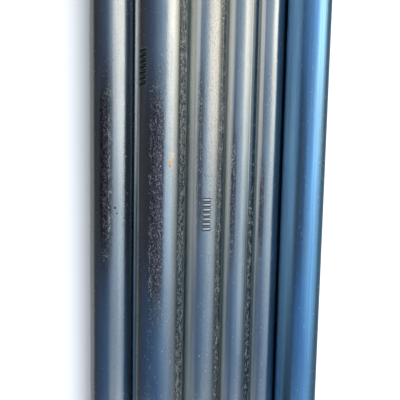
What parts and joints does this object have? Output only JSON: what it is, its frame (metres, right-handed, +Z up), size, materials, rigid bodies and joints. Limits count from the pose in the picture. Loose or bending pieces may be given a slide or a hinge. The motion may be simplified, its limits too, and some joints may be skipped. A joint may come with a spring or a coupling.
{
  "type": "stack of steel tubes",
  "caption": "Stack of plain galvanised round steel tubes, lying in two layers with one tube in the groove above, open at both ends.",
  "frame": {"origin": "on the floor under the middle of the stack", "axes": "+X along the tubes, +Y across the stack from its open side towards the side with the top tube, +Z up"},
  "size_m": [1.534, 0.2932, 0.1325],
  "materials": {
    "galvanised_steel": "weathered hot-dip galvanised, satin"
  },
  "bodies": {
    "root": {"bottom_tube_1": "galvanised_steel", "bottom_tube_2": "galvanised_steel", "bottom_tube_3": "galvanised_steel", "bottom_tube_4": "galvanised_steel", "bottom_tube_5": "galvanised_steel", "bottom_tube_6": "galvanised_steel", "middle_tube_1": "galvanised_steel", "middle_tube_2": "galvanised_steel", "middle_tube_3": "galvanised_steel", "middle_tube_4": "galvanised_steel", "middle_tube_5": "galvanised_steel", "top_tube": "galvanised_steel"}
  },
  "joints": []
}
